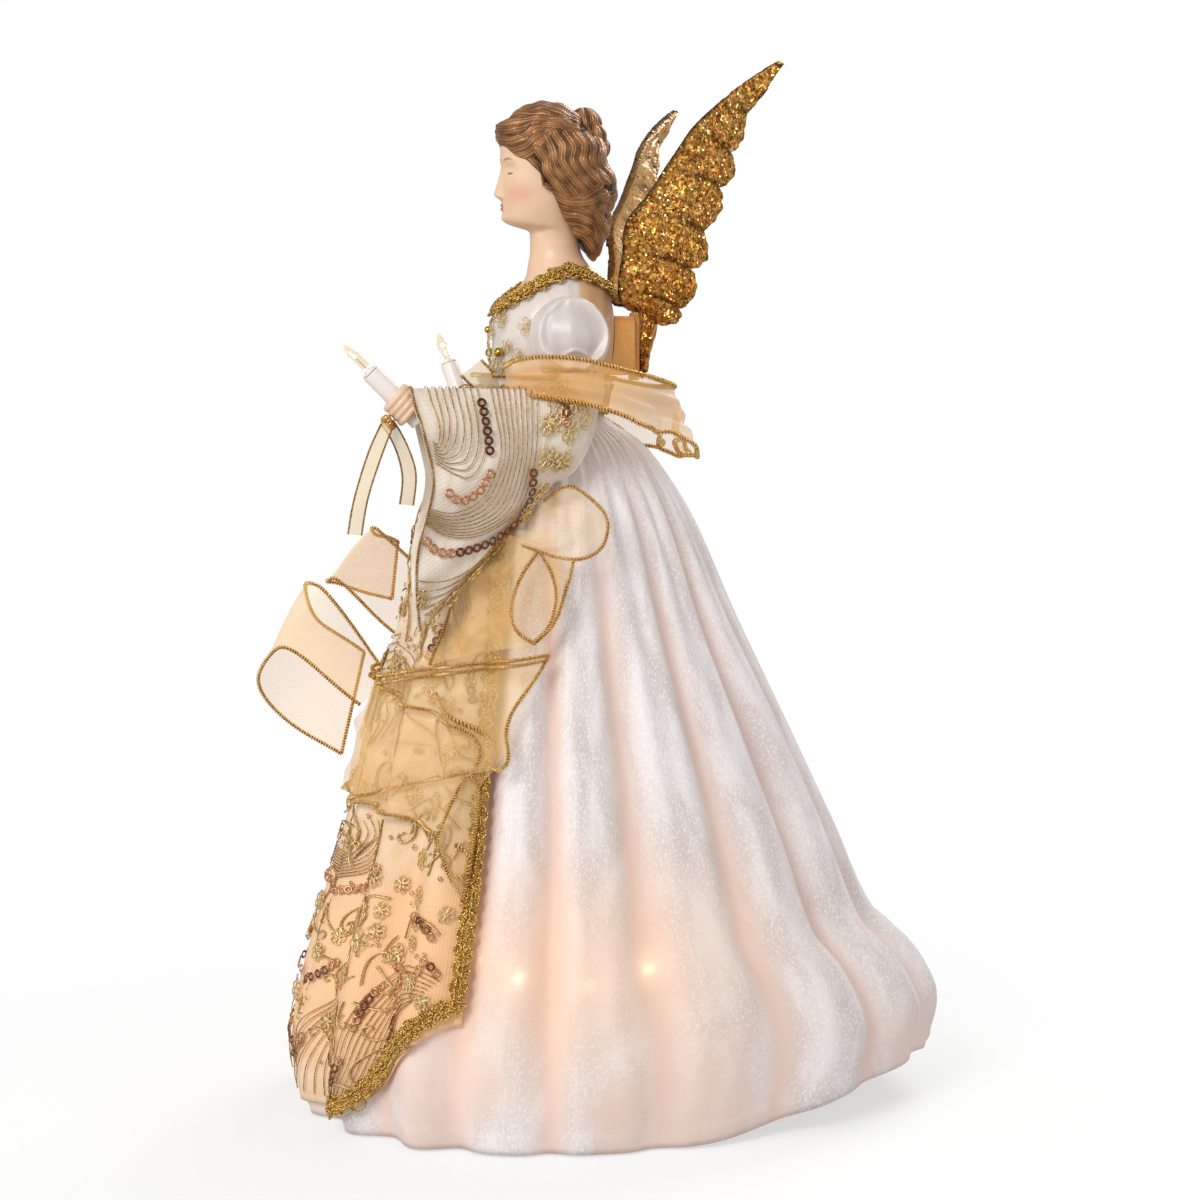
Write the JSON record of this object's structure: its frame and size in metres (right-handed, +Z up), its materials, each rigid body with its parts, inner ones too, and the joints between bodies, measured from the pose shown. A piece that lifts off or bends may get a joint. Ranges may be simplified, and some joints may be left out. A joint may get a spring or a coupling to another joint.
{
  "type": "treetop angel ornament",
  "caption": "Lighted treetop angel in velvet and embroidered cloth, with feathered wings and a candle in each hand; a hollow cone under its skirt fits over the top of a tree",
  "frame": {"origin": "centre of the bounding box at its base, on the plane that the cone stands on", "axes": "+Z up; the figure faces -Y; +X towards the figure's left hand"},
  "size_m": [0.1908, 0.2714, 0.4066],
  "materials": {
    "resin": "cast resin, painted skin and hair",
    "satin": "glossy cream satin",
    "velvet": "crushed panne velvet, ivory",
    "embroidered_cloth": "gold thread and ring sequins on cream cloth",
    "braid": "metallic gold braid",
    "organza": "sheer gold organza",
    "gold_plastic": "gold with coarse glitter",
    "white_plastic": "smooth moulded white",
    "lamp_glass": "clear lit miniature lamp",
    "card": "white pressed card",
    "wire": "bent soft wire",
    "lead": "white insulated lead"
  },
  "bodies": {
    "figure": {"tree_cone": "card", "lamp_string": "lead", "torso_core": "card", "bodice": "satin", "neck_trim": "braid", "bodice_bead_top": "gold_plastic", "bodice_bead_left": "gold_plastic", "bodice_bead_right": "gold_plastic", "skirt": "velvet", "front_panel": "embroidered_cloth", "panel_braid_left": "braid", "panel_braid_right": "braid", "waist_sash": "embroidered_cloth", "shawl_back": "organza", "shawl_loop_upper": "organza", "shawl_loop_lower": "organza", "wing_bracket": "gold_plastic", "bust": "resin", "skirt_lamp_holder_1": "white_plastic", "skirt_lamp_1": "lamp_glass", "skirt_lamp_holder_2": "white_plastic", "skirt_lamp_2": "lamp_glass", "skirt_lamp_holder_3": "white_plastic", "skirt_lamp_3": "lamp_glass", "skirt_lamp_holder_4": "white_plastic", "skirt_lamp_4": "lamp_glass", "skirt_lamp_holder_5": "white_plastic", "skirt_lamp_5": "lamp_glass", "skirt_lamp_holder_6": "white_plastic", "skirt_lamp_6": "lamp_glass", "skirt_lamp_holder_7": "white_plastic", "skirt_lamp_7": "lamp_glass", "skirt_lamp_holder_8": "white_plastic", "skirt_lamp_8": "lamp_glass", "sleeve_puff_left": "satin", "bell_sleeve_left": "embroidered_cloth", "arm_wire_left": "wire", "candle_lead_left": "lead", "hand_left": "resin", "candle_tube_left": "white_plastic", "candle_socket_left": "white_plastic", "hand_ribbon_left": "organza", "shawl_fall_left": "organza", "sleeve_puff_right": "satin", "bell_sleeve_right": "embroidered_cloth", "arm_wire_right": "wire", "candle_lead_right": "lead", "hand_right": "resin", "candle_tube_right": "white_plastic", "candle_socket_right": "white_plastic", "hand_ribbon_right": "organza", "shawl_fall_right": "organza"},
    "wings": {"wing_spine": "gold_plastic", "wing_left": "gold_plastic", "wing_right": "gold_plastic"},
    "lamp_left": {"candle_lamp_left": "lamp_glass"},
    "lamp_right": {"candle_lamp_right": "lamp_glass"}
  },
  "joints": [
    {"name": "wings_lift", "type": "slide", "parent": "figure", "child": "wings", "axis": [0, 0, 1], "range_m": [0, 0.045]},
    {"name": "candle_lamp_left_pull", "type": "slide", "parent": "figure", "child": "lamp_left", "axis": [0, -0.7071, 0.7071], "range_m": [0, 0.012]},
    {"name": "candle_lamp_right_pull", "type": "slide", "parent": "figure", "child": "lamp_right", "axis": [-0.3141, -0.2828, 0.9063], "range_m": [0, 0.012]}
  ]
}
